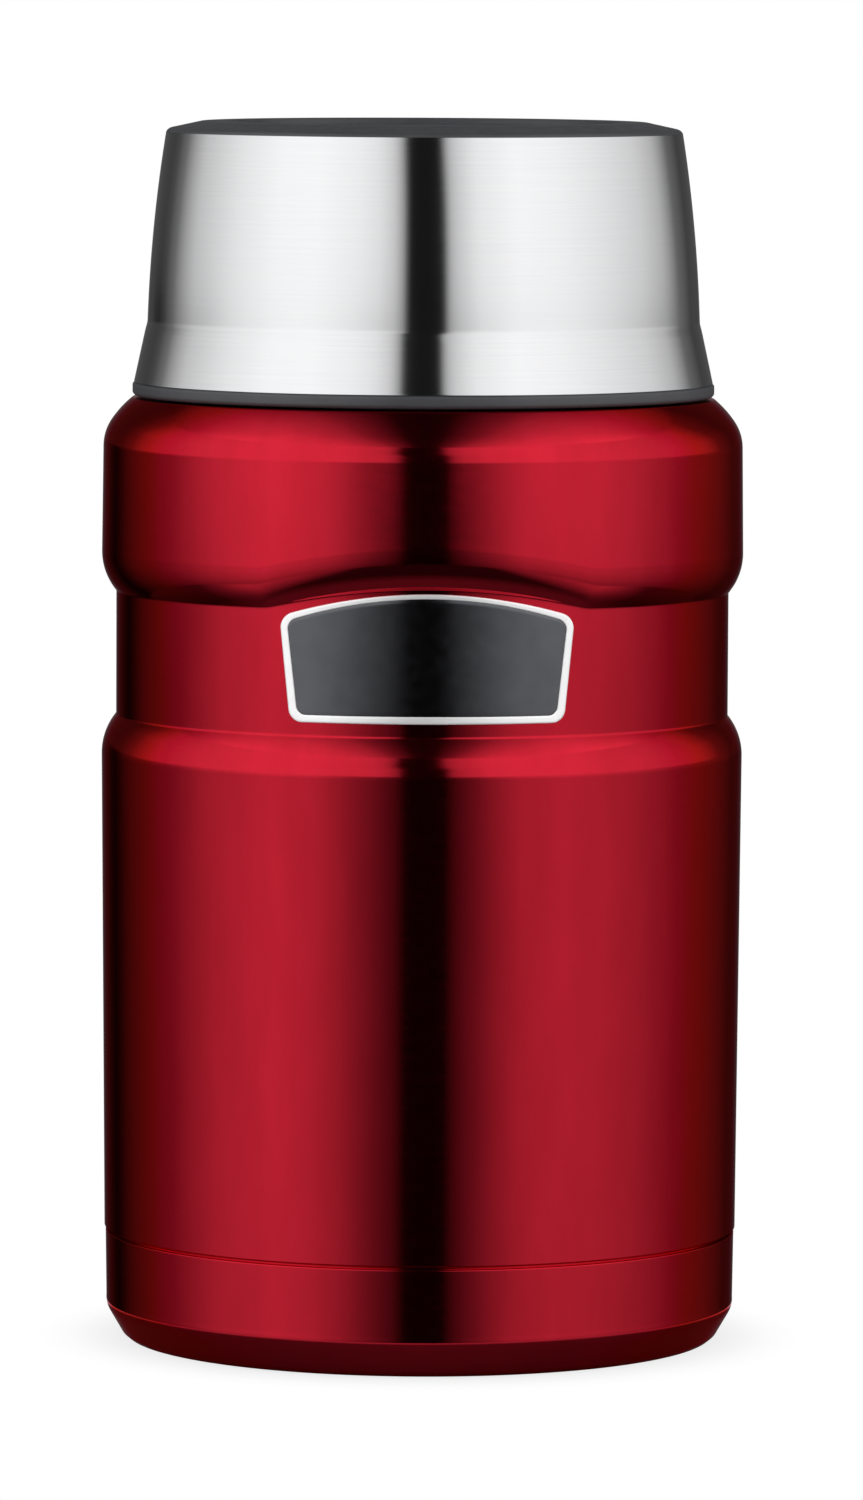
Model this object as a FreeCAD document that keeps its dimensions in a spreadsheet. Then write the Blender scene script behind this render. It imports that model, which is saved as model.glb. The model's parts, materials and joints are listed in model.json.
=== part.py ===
import FreeCAD, Part
import math
import os
import Sketcher
import types

# Insulated food jar: a double-wall steel vacuum jar, a screw-in stopper and
# a steel serving bowl that screws on as the lid. Lengths are in millimetres.
# The axis is Z, the jar stands on Z = 0 and the badge faces -Y.

DIMENSIONS = [
    # Outside of the jar, from the foot upwards
    ("barrel_radius", 50.0),
    ("lower_taper", 0.58),
    ("upper_taper", 0.2),
    ("base_cup_height", 16.9),
    ("base_cup_step", 0.18),
    ("base_cup_taper", 0.14),
    ("foot_bevel_depth", 2.5),
    ("foot_bevel_height", 7.0),
    ("foot_edge_width", 1.0),
    ("foot_edge_height", 0.8),
    ("foot_round_depth", 0.35),
    ("foot_round_height", 2.1),
    ("cup_bend_depth", 1.25),
    ("cup_bend_height", 3.15),
    ("foot_ring_width", 7.6),
    ("foot_recess", 1.2),
    ("seam_gap", 0.3),
    ("lower_barrel_height", 74.6),
    ("groove_depth", 2.25),
    ("groove_bevel_height", 6.2),
    ("band_height", 19.3),
    ("upper_barrel_height", 16.4),
    ("shoulder_height", 7.5),
    ("shoulder_depth", 4.5),
    ("shoulder_round_depth", 1.4),
    ("shoulder_round_height", 3.9),
    # Arch of the groove over the badge
    ("arch_rise", 3.2),
    ("arch_half_angle", 30.6),
    # Sheet steel and the vacuum space
    ("shell_wall", 0.6),
    ("vessel_wall", 0.5),
    ("vacuum_gap", 2.65),
    ("bottom_space", 8.8),
    ("bottom_plate_flange", 3.0),
    ("bottom_plate_dimple", 1.4),
    ("vessel_corner", 14.0),
    ("foil_thickness", 0.15),
    ("foil_margin", 14.0),
    # Evacuation hole, its seal and the getter
    ("evacuation_hole", 1.5),
    ("dimple_radius", 9.0),
    ("seal_radius", 5.0),
    ("getter_radius", 4.0),
    ("getter_height", 1.6),
    ("getter_offset", 22.0),
    ("clip_wall", 0.5),
    ("clip_foot_width", 1.5),
    ("clip_grip", 1.1),
    # Neck, mouth and the seat of the stopper
    ("neck_inset", 5.9),
    ("neck_height", 14.4),
    ("neck_gap", 1.2),
    ("throat_step", 2.6),
    ("throat_height", 6.0),
    ("vessel_shoulder_height", 7.0),
    # Screw threads: three starts, one lead for both
    ("thread_lead", 12.0),
    ("thread_turns", 0.55),
    ("thread_height", 0.9),
    ("thread_root", 1.8),
    ("thread_crest", 0.9),
    ("thread_bury", 0.2),
    ("thread_clearance", 0.4),
    # Stopper
    ("stopper_wall", 1.6),
    ("stopper_gap", 0.3),
    ("stopper_plug_clearance", 0.6),
    ("stopper_plug_drop", 7.5),
    ("stopper_flange_height", 2.5),
    ("stopper_flange_inset", 0.5),
    ("stopper_cap_height", 6.5),
    ("stopper_cap_inset", 5.0),
    ("stopper_ledge", 1.6),
    ("flute_radius", 4.0),
    ("flute_depth", 1.4),
    ("gasket_height", 1.8),
    ("gasket_chamfer", 0.5),
    ("gasket_clearance", 0.1),
    # Lid: sleeve, collar, bowl liner and cap
    ("lid_gap", 0.3),
    ("lip_ring_height", 2.0),
    ("lip_ring_bulge", 0.2),
    ("lip_ring_round", 0.6),
    ("lid_inset", 0.2),
    ("sleeve_flare_height", 8.1),
    ("sleeve_flare_depth", 1.75),
    ("sleeve_crease_height", 1.3),
    ("sleeve_crease_depth", 0.35),
    ("sleeve_straight_height", 2.0),
    ("sleeve_straight_depth", 0.08),
    ("sleeve_arc_height", 27.5),
    ("sleeve_arc_depth", 2.75),
    ("collar_height", 12.8),
    ("collar_upstand", 1.0),
    ("collar_seal_width", 0.7),
    ("liner_rim_clearance", 0.8),
    ("liner_taper", 2.8),
    ("liner_wall_height", 14.0),
    ("liner_corner", 9.0),
    ("cap_height", 1.7),
    ("cap_bevel_depth", 0.9),
    ("cap_bevel_height", 0.7),
    ("cap_crown_width", 4.6),
    ("cap_recess_depth", 1.0),
    ("cap_foot_width", 4.0),
    ("cap_thickness", 1.8),
    ("cap_skirt_height", 3.5),
    ("cap_skirt_wall", 1.2),
    # Badge on the band of the groove
    ("badge_thickness", 0.7),
    ("badge_top_half_width", 22.4),
    ("badge_bottom_half_width", 20.8),
    ("badge_margin_top", 0.6),
    ("badge_margin_bottom", 2.2),
    ("badge_arch_rise", 3.7),
    ("badge_corner", 1.9),
    ("badge_border", 1.15),
    ("badge_inlay_depth", 0.35),
    ("badge_inlay_drop", 0.1),
]
THREAD_STARTS = 3
FLUTE_COUNT = 16
ARCH_SECTIONS = 15
ARCH_OVERRUN = 1.12
ARCH_OVERSHOOT = 0.04
CUTTER_MARGIN = 6.0
FULL_TURN = 360.0


class Size:
    """A length with its value now and its text for an expression."""

    def __init__(self, value, text):
        self.value = value
        self.text = text

    def joined(self, other, sign, value):
        other = as_size(other)
        return Size(value, "(" + self.text + sign + other.text + ")")

    def __add__(self, other):
        return self.joined(other, " + ", self.value + as_size(other).value)

    def __sub__(self, other):
        return self.joined(other, " - ", self.value - as_size(other).value)

    def __mul__(self, other):
        return self.joined(other, " * ", self.value * as_size(other).value)

    def __truediv__(self, other):
        return self.joined(other, " / ", self.value / as_size(other).value)


def as_size(thing):
    return thing if isinstance(thing, Size) else Size(float(thing), repr(float(thing)))


doc = FreeCAD.newDocument("FoodJar")
sheet = doc.addObject("Spreadsheet::Sheet", "Dimensions")
size = {}
for row, (alias, number) in enumerate(DIMENSIONS, start=1):
    sheet.set("A" + str(row), alias)
    sheet.set("B" + str(row), repr(number))
    sheet.setAlias("B" + str(row), alias)
    size[alias] = Size(number, "Dimensions." + alias)
doc.recompute()
D = types.SimpleNamespace(**size)
parts = {}


def origin_feature(body, role):
    for feature in body.Origin.OriginFeatures:
        if feature.Role == role:
            return feature


def new_body(label):
    return doc.addObject("PartDesign::Body", label + "_body")


def new_sketch(body, name, role="XZ_Plane"):
    sketch = body.newObject("Sketcher::SketchObject", name)
    sketch.AttachmentSupport = [(origin_feature(body, role), "")]
    sketch.MapMode = "FlatFace"
    return sketch


def pin_point(sketch, geometry, place, across, up):
    """Hold one point of a sketch by its distances from the origin."""
    for distance, kind, axis in ((across, "DistanceX", -2), (up, "DistanceY", -1)):
        if distance is None:
            sketch.addConstraint(Sketcher.Constraint("PointOnObject", geometry, place, axis))
        else:
            number = sketch.addConstraint(
                Sketcher.Constraint(kind, -1, 1, geometry, place, distance.value))
            sketch.setExpression("Constraints[" + str(number) + "]", distance.text)


def arc_between(start, end, direction):
    """The arc from start to end that leaves start along direction, and whether it runs
    counter-clockwise."""
    normal = FreeCAD.Vector(-direction.y, direction.x, 0)
    chord = end - start
    reach = chord.dot(chord) / (2 * chord.dot(normal))
    centre = start + normal * reach
    turned_left = reach > 0
    first, last = (start, end) if turned_left else (end, start)
    angle_1 = math.atan2(first.y - centre.y, first.x - centre.x)
    angle_2 = math.atan2(last.y - centre.y, last.x - centre.x)
    if angle_2 < angle_1:
        angle_2 += 2 * math.pi
    circle = Part.Circle(centre, FreeCAD.Vector(0, 0, 1), abs(reach))
    return Part.ArcOfCircle(circle, angle_1, angle_2), turned_left


def closed_outline(sketch, corners):
    """Draw a closed outline through corners (across, up, kind). None is on the axis.
    kind is how the next edge runs: "line", "leaves" for an arc tangent to the edge before
    it, or "meets" for an arc tangent to the edge after it."""
    count = len(corners)
    spots = [FreeCAD.Vector(c[0].value if c[0] else 0, c[1].value if c[1] else 0, 0) for c in corners]
    ends = []
    for i, corner in enumerate(corners):
        here, there = spots[i], spots[(i + 1) % count]
        if corner[2] == "line":
            sketch.addGeometry(Part.LineSegment(here, there))
            ends.append((1, 2))
        elif corner[2] == "leaves":
            arc, left = arc_between(here, there, (here - spots[i - 1]).normalize())
            sketch.addGeometry(arc)
            ends.append((1, 2) if left else (2, 1))
        else:
            after = spots[(i + 2) % count]
            arc, left = arc_between(there, here, (there - after).normalize())
            sketch.addGeometry(arc)
            ends.append((2, 1) if left else (1, 2))
    for i, corner in enumerate(corners):
        before = (i - 1) % count
        smooth = corner[2] == "leaves" or corners[before][2] == "meets"
        kind = "Tangent" if smooth else "Coincident"
        sketch.addConstraint(Sketcher.Constraint(kind, before, ends[before][1], i, ends[i][0]))
        pin_point(sketch, i, ends[i][0], corner[0], corner[1])


def revolve(body, name, corners):
    """A ring or a solid of revolution about Z from its half section."""
    sketch = new_sketch(body, name + "_section")
    closed_outline(sketch, corners)
    turned = body.newObject("PartDesign::Revolution", name + "_revolved")
    turned.Profile = sketch
    turned.ReferenceAxis = (sketch, ["V_Axis"])
    turned.Angle = FULL_TURN
    doc.recompute()
    return turned


def polar_copies(body, feature, count):
    pattern = body.newObject("PartDesign::PolarPattern", feature.Name + "_copies")
    pattern.Originals = [feature]
    pattern.Axis = (origin_feature(body, "Z_Axis"), [""])
    pattern.Angle = FULL_TURN
    pattern.Occurrences = count
    body.Tip = pattern
    doc.recompute()


def screw_thread(body, name, wall, height_direction, bottom):
    """Ridges on a round wall: outwards for 1, inwards for -1. bottom is the ridge's lower
    edge at its start."""
    slope = (D.thread_root - D.thread_crest) / 2
    root = wall - D.thread_bury * height_direction
    crest = wall + D.thread_height * height_direction
    sketch = new_sketch(body, name + "_section")
    closed_outline(sketch, [
        (root, bottom, "line"),
        (crest, bottom + slope, "line"),
        (crest, bottom + slope + D.thread_crest, "line"),
        (root, bottom + D.thread_root, "line")])
    helix = body.newObject("PartDesign::AdditiveHelix", name)
    helix.Profile = sketch
    helix.ReferenceAxis = (sketch, ["V_Axis"])
    helix.Mode = "pitch-turns-angle"
    helix.setExpression("Pitch", D.thread_lead.text)
    helix.setExpression("Turns", D.thread_turns.text)
    doc.recompute()
    polar_copies(body, helix, THREAD_STARTS)


def finish(feature, label):
    """Give a finished sub-part the name of its node."""
    feature.Label = label
    parts[label] = feature


def solid_cylinder(name, radius, height, low):
    cylinder = doc.addObject("Part::Cylinder", name)
    cylinder.setExpression("Radius", radius.text)
    cylinder.setExpression("Height", height.text)
    cylinder.setExpression("Placement.Base.z", low.text)
    return cylinder


def boolean(kind, name, base, tool):
    feature = doc.addObject("Part::" + kind, name)
    feature.Base = base
    feature.Tool = tool
    return feature


# Levels of the jar, from the foot upwards
z_seam = D.base_cup_height
z_shell_foot = z_seam + D.seam_gap
z_groove_low = z_seam + D.lower_barrel_height
z_band_low = z_groove_low + D.groove_bevel_height
z_band_high = z_band_low + D.band_height
z_groove_high = z_band_high + D.groove_bevel_height
z_shoulder = z_groove_high + D.upper_barrel_height
z_rim = z_shoulder + D.shoulder_height
z_lip = z_rim + D.neck_height
z_plate = D.foot_bevel_height - D.shell_wall
z_vessel_floor = z_plate + D.bottom_space + D.shell_wall

# Radii of the jar
r_lower_end = D.barrel_radius - D.lower_taper
r_upper_end = D.barrel_radius - D.upper_taper
r_band = D.barrel_radius - D.groove_depth
r_rim = r_upper_end - D.shoulder_depth
r_neck = r_rim - D.neck_inset
r_cup_top = r_lower_end - D.base_cup_step
r_cup_low = r_cup_top - D.base_cup_taper
r_cup_bore = r_cup_low - D.shell_wall
r_foot = r_cup_low - D.foot_bevel_depth
r_skirt_bore = r_cup_bore - D.shell_wall
r_vessel = r_band - D.shell_wall - D.vacuum_gap
r_neck_bore = r_neck - D.shell_wall - D.neck_gap - D.vessel_wall
r_throat = r_neck_bore - D.throat_step

# Levels of the mouth and of the stopper
z_seat = z_rim + D.vessel_wall
z_thread = z_seat + D.gasket_height + D.thread_root
z_throat = z_seat - D.throat_height
z_vessel_shoulder = z_throat - D.vessel_shoulder_height

# Levels and radii of the lid
z_lid = z_rim + D.lid_gap
z_sleeve = z_lid + D.lip_ring_height
z_crease = z_sleeve + D.sleeve_flare_height
z_straight = z_crease + D.sleeve_crease_height
z_arc = z_straight + D.sleeve_straight_height
z_cap = z_arc + D.sleeve_arc_height
z_top = z_cap + D.cap_height
z_collar = z_lid + D.collar_height
z_liner = z_collar + D.collar_upstand
r_sleeve_foot = r_rim - D.lid_inset
r_crease = r_sleeve_foot - D.sleeve_flare_depth
r_straight = r_crease - D.sleeve_crease_depth
r_arc = r_straight - D.sleeve_straight_depth
r_sleeve_top = r_arc - D.sleeve_arc_depth
r_collar_bore = r_neck + D.thread_height + D.thread_clearance
r_liner = r_neck + D.liner_rim_clearance


# Outer shell of the jar

def arch_cutter(name, wall):
    """The arched rise of the groove over the badge, as a lofted cutter. wall sets it
    inwards for the inner face of the shell."""
    band = r_band.value - wall
    barrel = D.barrel_radius.value - wall
    bevel = D.groove_bevel_height.value
    depth = barrel - band
    sections = []
    for i in range(ARCH_SECTIONS):
        share = ARCH_OVERRUN * (2 * i / (ARCH_SECTIONS - 1) - 1)
        turn = math.radians(D.arch_half_angle.value) * share
        widest = math.sin(math.radians(D.arch_half_angle.value))
        edge = z_band_high.value + D.arch_rise.value * (1 - (math.sin(turn) / widest) ** 2)
        radius = (bevel ** 2 + depth ** 2) / (2 * depth)
        half = math.asin(bevel / radius) / 2
        middle = (barrel - radius * (1 - math.cos(half)), edge + bevel - radius * math.sin(half))
        across = FreeCAD.Vector(math.sin(turn), -math.cos(turn), 0)

        def spot(out, up):
            return across * out + FreeCAD.Vector(0, 0, up)

        low = spot(band, edge)
        high = spot(barrel + ARCH_OVERSHOOT, edge + bevel)
        outer = barrel + CUTTER_MARGIN
        inner = band - CUTTER_MARGIN / 2
        edges = [
            Part.Arc(low, spot(*middle), high).toShape(),
            Part.makeLine(high, spot(outer, edge + bevel)),
            Part.makeLine(spot(outer, edge + bevel), spot(outer, edge - CUTTER_MARGIN)),
            Part.makeLine(spot(outer, edge - CUTTER_MARGIN), spot(inner, edge - CUTTER_MARGIN)),
            Part.makeLine(spot(inner, edge - CUTTER_MARGIN), spot(inner, edge)),
            Part.makeLine(spot(inner, edge), low)]
        sections.append(Part.Wire(edges))
    core = Part.makeCylinder(band, z_top.value)
    cutter = doc.addObject("Part::Feature", name)
    cutter.Shape = Part.makeLoft(sections, True, False).cut(core)
    return cutter


def shell_side(wall):
    """The shell's outer side above the seam, or its inner side, set in by the wall."""
    return [
        (r_lower_end - wall, z_shell_foot + D.seam_gap + wall, "line"),
        (D.barrel_radius - wall, z_groove_low, "leaves"),
        (r_band - wall, z_band_low, "line"),
        (r_band - wall, z_band_high, "meets"),
        (D.barrel_radius - wall, z_groove_high, "line"),
        (r_upper_end - wall, z_shoulder, "leaves"),
        (r_upper_end - D.shoulder_round_depth - wall, z_shoulder + D.shoulder_round_height, "line"),
        (r_rim - wall, z_rim - wall, "line"),
        (r_neck - wall, z_rim - wall, "line")]


def build_outer_shell():
    wall = D.shell_wall
    outside = new_body("shell_outside")
    revolve(outside, "shell_outside",
            [(None, z_plate, "line"), (r_cup_bore, z_plate, "line"), (r_cup_bore, z_shell_foot, "line"),
             (r_lower_end - D.seam_gap, z_shell_foot, "line")]
            + shell_side(as_size(0))
            + [(r_neck, z_lip - D.vessel_wall, "line"), (None, z_lip - D.vessel_wall, "line")])
    screw_thread(outside, "neck_thread", r_neck, 1, z_rim + D.thread_root)
    inside = new_body("shell_inside")
    revolve(inside, "shell_inside",
            [(None, z_plate - wall, "line"), (r_skirt_bore, z_plate - wall, "line"),
             (r_skirt_bore, z_shell_foot + wall, "line"),
             (r_lower_end - D.seam_gap - wall, z_shell_foot + wall, "line")]
            + shell_side(wall)
            + [(r_neck - wall, z_lip + wall, "line"), (None, z_lip + wall, "line")])
    arched_outside = boolean("Cut", "arched_outside", outside, arch_cutter("arch_outside", 0.0))
    arched_inside = boolean("Cut", "arched_inside", inside, arch_cutter("arch_inside", wall.value))
    finish(boolean("Cut", "outer_shell", arched_outside, arched_inside), "outer_shell")


def build_base_cup():
    wall = D.shell_wall
    body = new_body("base_cup")
    r_edge = r_foot - D.foot_edge_width
    r_ring = r_edge - D.foot_ring_width
    revolve(body, "base_cup", [
        (None, D.foot_recess, "line"),
        (r_ring - D.foot_recess, D.foot_recess, "line"),
        (r_ring, None, "line"),
        (r_edge, None, "line"),
        (r_foot, D.foot_edge_height, "line"),
        (r_cup_low - D.foot_round_depth, D.foot_bevel_height - D.foot_round_height, "leaves"),
        (r_cup_low, D.foot_bevel_height, "line"),
        (r_cup_top, z_seam, "line"),
        (r_cup_bore, z_seam, "line"),
        (r_cup_bore, z_plate, "line"),
        (r_cup_bore - D.cup_bend_depth, D.foot_bevel_height - D.cup_bend_height, "line"),
        (r_foot - wall, D.foot_edge_height + wall, "line"),
        (r_edge - wall / 2, wall, "line"),
        (r_ring + wall / 2, wall, "line"),
        (r_ring - D.foot_recess + wall / 2, D.foot_recess + wall, "line"),
        (None, D.foot_recess + wall, "line")])
    finish(body, "base_cup")


def build_bottom_plate():
    wall = D.shell_wall
    high = z_plate + D.bottom_plate_dimple
    body = new_body("bottom_plate")
    revolve(body, "bottom_plate", [
        (D.evacuation_hole, high, "line"),
        (D.dimple_radius - D.bottom_plate_dimple, high, "line"),
        (D.dimple_radius, z_plate, "line"),
        (r_skirt_bore, z_plate, "line"),
        (r_skirt_bore, z_plate + D.bottom_plate_flange, "line"),
        (r_skirt_bore - wall, z_plate + D.bottom_plate_flange, "line"),
        (r_skirt_bore - wall, z_plate + wall, "line"),
        (D.dimple_radius + wall / 2, z_plate + wall, "line"),
        (D.dimple_radius - D.bottom_plate_dimple + wall / 2, high + wall, "line"),
        (D.evacuation_hole, high + wall, "line")])
    finish(body, "bottom_plate")
    seal = new_body("vacuum_seal")
    revolve(seal, "vacuum_seal", [
        (None, high - D.bottom_plate_dimple / 2, "line"),
        (D.seal_radius, high - D.bottom_plate_dimple / 2, "line"),
        (D.seal_radius, high, "line"),
        (D.evacuation_hole, high, "line"),
        (D.evacuation_hole, high + wall, "line"),
        (None, high + wall, "line")])
    finish(seal, "vacuum_seal")


def build_getter():
    low = z_plate + D.shell_wall
    clip = new_body("getter_clip")
    rim = D.getter_radius + D.clip_wall
    revolve(clip, "getter_clip", [
        (None, low, "line"),
        (rim + D.clip_foot_width, low, "line"),
        (rim + D.clip_foot_width, low + D.clip_wall, "line"),
        (rim, low + D.clip_wall, "line"),
        (rim, low + D.clip_wall + D.clip_grip, "line"),
        (D.getter_radius, low + D.clip_wall + D.clip_grip, "line"),
        (D.getter_radius, low + D.clip_wall, "line"),
        (None, low + D.clip_wall, "line")])
    clip.setExpression("Placement.Base.y", D.getter_offset.text)
    finish(clip, "getter_clip")
    pellet = solid_cylinder("getter", D.getter_radius, D.getter_height, low + D.clip_wall)
    pellet.setExpression("Placement.Base.y", D.getter_offset.text)
    finish(pellet, "getter")


def vessel_side(wall):
    """The inner vessel's outer side from its shoulder to the neck, or its inner side."""
    return [
        (r_vessel - wall, z_vessel_shoulder - wall / 2, "line"),
        (r_throat + D.vessel_wall - wall, z_throat - wall, "line"),
        (r_throat + D.vessel_wall - wall, z_seat - D.vessel_wall + wall, "line"),
        (r_neck_bore + D.vessel_wall - wall, z_seat - D.vessel_wall + wall, "line")]


def build_inner_vessel():
    wall = D.vessel_wall
    corner = D.vessel_corner
    body = new_body("inner_vessel")
    inner = vessel_side(wall)
    inner.reverse()
    revolve(body, "inner_vessel", [
        (None, z_vessel_floor, "line"),
        (r_vessel - corner, z_vessel_floor, "leaves"),
        (r_vessel, z_vessel_floor + corner, "line")]
        + vessel_side(as_size(0))
        + [(r_neck_bore + wall, z_lip - wall, "line"),
           (r_neck, z_lip - wall, "line"),
           (r_neck, z_lip, "line"),
           (r_neck_bore, z_lip, "line")]
        + inner
        + [(r_vessel - wall, z_vessel_floor + corner, "meets"),
           (r_vessel - corner, z_vessel_floor + wall, "line"),
           (None, z_vessel_floor + wall, "line")])
    screw_thread(body, "mouth_thread", r_neck_bore, -1, z_thread)
    finish(body, "inner_vessel")


def build_radiation_foil():
    low = z_vessel_floor + D.foil_margin
    high = z_vessel_shoulder - D.foil_margin
    body = new_body("radiation_foil")
    revolve(body, "radiation_foil", [
        (r_vessel, low, "line"),
        (r_vessel + D.foil_thickness, low, "line"),
        (r_vessel + D.foil_thickness, high, "line"),
        (r_vessel, high, "line")])
    finish(body, "radiation_foil")


# Badge: a bare plate with a raised border and a dark inlay

def badge_prism(name, inset):
    """The badge's outline as a prism along -Y, inset from the plate's edge."""
    body = new_body(name)
    sketch = new_sketch(body, name + "_outline")
    low = z_band_low + D.badge_margin_bottom + inset
    peak = z_band_high + D.arch_rise - D.badge_margin_top - inset
    corner = peak - D.badge_arch_rise
    top = D.badge_top_half_width - inset
    bottom = D.badge_bottom_half_width - inset
    radius = (top * top + D.badge_arch_rise * D.badge_arch_rise) / (D.badge_arch_rise * 2)
    left = [FreeCAD.Vector(-bottom.value, low.value, 0), FreeCAD.Vector(-top.value, corner.value, 0)]
    right = [FreeCAD.Vector(bottom.value, low.value, 0), FreeCAD.Vector(top.value, corner.value, 0)]
    sketch.addGeometry(Part.LineSegment(left[0], right[0]))
    sketch.addGeometry(Part.LineSegment(right[0], right[1]))
    centre = FreeCAD.Vector(0, peak.value - radius.value, 0)
    lean = math.asin(top.value / radius.value)
    circle = Part.Circle(centre, FreeCAD.Vector(0, 0, 1), radius.value)
    sketch.addGeometry(Part.ArcOfCircle(circle, math.pi / 2 - lean, math.pi / 2 + lean))
    sketch.addGeometry(Part.LineSegment(left[1], left[0]))
    for edge in range(4):
        sketch.addConstraint(Sketcher.Constraint("Coincident", edge, 2, (edge + 1) % 4, 1))
    sketch.addConstraint(Sketcher.Constraint("Symmetric", 0, 1, 0, 2, -2))
    sketch.addConstraint(Sketcher.Constraint("Symmetric", 2, 1, 2, 2, -2))
    pin_point(sketch, 0, 2, bottom, low)
    pin_point(sketch, 1, 2, top, corner)
    number = sketch.addConstraint(Sketcher.Constraint("Radius", 2, radius.value))
    sketch.setExpression("Constraints[" + str(number) + "]", radius.text)
    pad = body.newObject("PartDesign::Pad", name + "_pad")
    pad.Profile = sketch
    pad.setExpression("Length", (D.barrel_radius + D.badge_thickness).text)
    doc.recompute()
    standing = []
    for number, edge in enumerate(pad.Shape.Edges, start=1):
        run = edge.Vertexes[-1].Point - edge.Vertexes[0].Point
        if abs(run.y) > D.badge_top_half_width.value:
            standing.append("Edge" + str(number))
    fillet = body.newObject("PartDesign::Fillet", name + "_corners")
    fillet.Base = (pad, standing)
    fillet.setExpression("Radius", (D.badge_corner - inset / 2).text)
    doc.recompute()
    return body


def ring(name, inner, outer):
    whole = solid_cylinder(name + "_outer", outer, z_top, as_size(0))
    core = solid_cylinder(name + "_core", inner, z_top, as_size(0))
    return boolean("Cut", name, whole, core)


def build_badge():
    face = r_band + D.badge_thickness
    floor = face - D.badge_inlay_depth
    plate_blank = boolean("Common", "badge_blank", badge_prism("badge_outer", as_size(0)),
                          ring("badge_ring", r_band, face))
    window = badge_prism("badge_window", D.badge_border)
    pocket = boolean("Common", "badge_pocket", window, ring("pocket_ring", floor, face + D.badge_thickness))
    finish(boolean("Cut", "badge_plate", plate_blank, pocket), "badge_plate")
    inlay_window = badge_prism("badge_inlay_outline", D.badge_border)
    finish(boolean("Common", "badge_inlay", inlay_window,
                   ring("inlay_ring", floor, face - D.badge_inlay_drop)), "badge_inlay")


# Stopper: a foam-filled plug with a gasket and a fluted cap

def build_stopper():
    wall = D.stopper_wall
    plug = r_neck_bore - D.thread_height - D.stopper_gap
    lower = r_throat - D.stopper_plug_clearance
    flange = r_neck - D.stopper_flange_inset
    z_low = z_seat - D.stopper_plug_drop
    z_gasket = z_seat + D.stopper_gap
    z_plug = z_gasket + D.gasket_height + D.gasket_clearance
    z_flange = z_lip + D.stopper_gap
    z_cap_low = z_flange + D.stopper_flange_height
    body = new_body("stopper_shell")
    revolve(body, "stopper_shell", [
        (None, z_low, "line"),
        (lower - wall, z_low, "leaves"),
        (lower, z_low + wall, "line"),
        (lower, z_plug, "line"),
        (plug, z_plug, "line"),
        (plug, z_flange, "line"),
        (flange, z_flange, "line"),
        (flange, z_cap_low, "line"),
        (lower - wall, z_cap_low, "line"),
        (lower - wall, z_low + wall, "line"),
        (None, z_low + wall, "line")])
    screw_thread(body, "stopper_thread", plug, 1, z_thread + D.thread_lead / (THREAD_STARTS * 2))
    finish(body, "stopper_shell")
    foam = solid_cylinder("stopper_foam", lower - wall, z_cap_low - z_low - wall, z_low + wall)
    finish(foam, "stopper_foam")
    gasket = new_body("stopper_gasket")
    bore = lower + D.gasket_clearance
    z_gasket_top = z_gasket + D.gasket_height
    revolve(gasket, "stopper_gasket", [
        (bore, z_gasket, "line"),
        (plug - D.gasket_chamfer, z_gasket, "line"),
        (plug, z_gasket + D.gasket_chamfer, "line"),
        (plug, z_gasket_top - D.gasket_chamfer, "line"),
        (plug - D.gasket_chamfer, z_gasket_top, "line"),
        (bore, z_gasket_top, "line")])
    finish(gasket, "stopper_gasket")
    cap = new_body("stopper_cap")
    knob = flange - D.stopper_cap_inset
    z_high = z_cap_low + D.stopper_cap_height
    ledge = D.stopper_ledge
    revolve(cap, "stopper_cap", [
        (None, z_cap_low, "line"),
        (flange, z_cap_low, "line"),
        (flange, z_cap_low + ledge / 2, "meets"),
        (flange - ledge / 2, z_cap_low + ledge, "line"),
        (knob, z_cap_low + ledge, "line"),
        (knob, z_high - ledge, "leaves"),
        (knob - ledge, z_high, "line"),
        (None, z_high, "line")])
    sketch = new_sketch(cap, "flute_outline", "XY_Plane")
    centre = knob + D.flute_radius - D.flute_depth
    sketch.addGeometry(Part.Circle(FreeCAD.Vector(centre.value, 0, 0), FreeCAD.Vector(0, 0, 1),
                                   D.flute_radius.value))
    pin_point(sketch, 0, 3, centre, None)
    number = sketch.addConstraint(Sketcher.Constraint("Radius", 0, D.flute_radius.value))
    sketch.setExpression("Constraints[" + str(number) + "]", D.flute_radius.text)
    sketch.setExpression("AttachmentOffset.Base.z", (z_cap_low + ledge).text)
    flute = cap.newObject("PartDesign::Pocket", "flute")
    flute.Profile = sketch
    flute.Reversed = True
    flute.setExpression("Length", D.stopper_cap_height.text)
    doc.recompute()
    polar_copies(cap, flute, FLUTE_COUNT)
    finish(cap, "stopper_cap")


# Lid: a serving bowl with an air gap between its liner and its sleeve

def sleeve_side(wall):
    """The sleeve's outer side, or its inner side, set in by the wall."""
    return [
        (r_sleeve_foot - wall, z_sleeve, "line"),
        (r_crease - wall, z_crease, "line"),
        (r_straight - wall, z_straight, "line"),
        (r_arc - wall, z_arc, "leaves"),
        (r_sleeve_top - wall, z_cap, "line")]


def build_lid_sleeve():
    inner = [
        (r_sleeve_top - D.shell_wall, z_cap, "meets"),
        (r_arc - D.shell_wall, z_arc, "line"),
        (r_straight - D.shell_wall, z_straight, "line"),
        (r_crease - D.shell_wall, z_crease, "line"),
        (r_sleeve_foot - D.shell_wall, z_sleeve, "line")]
    body = new_body("lid_sleeve")
    revolve(body, "lid_sleeve", sleeve_side(as_size(0)) + inner)
    finish(body, "lid_sleeve")


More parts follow.
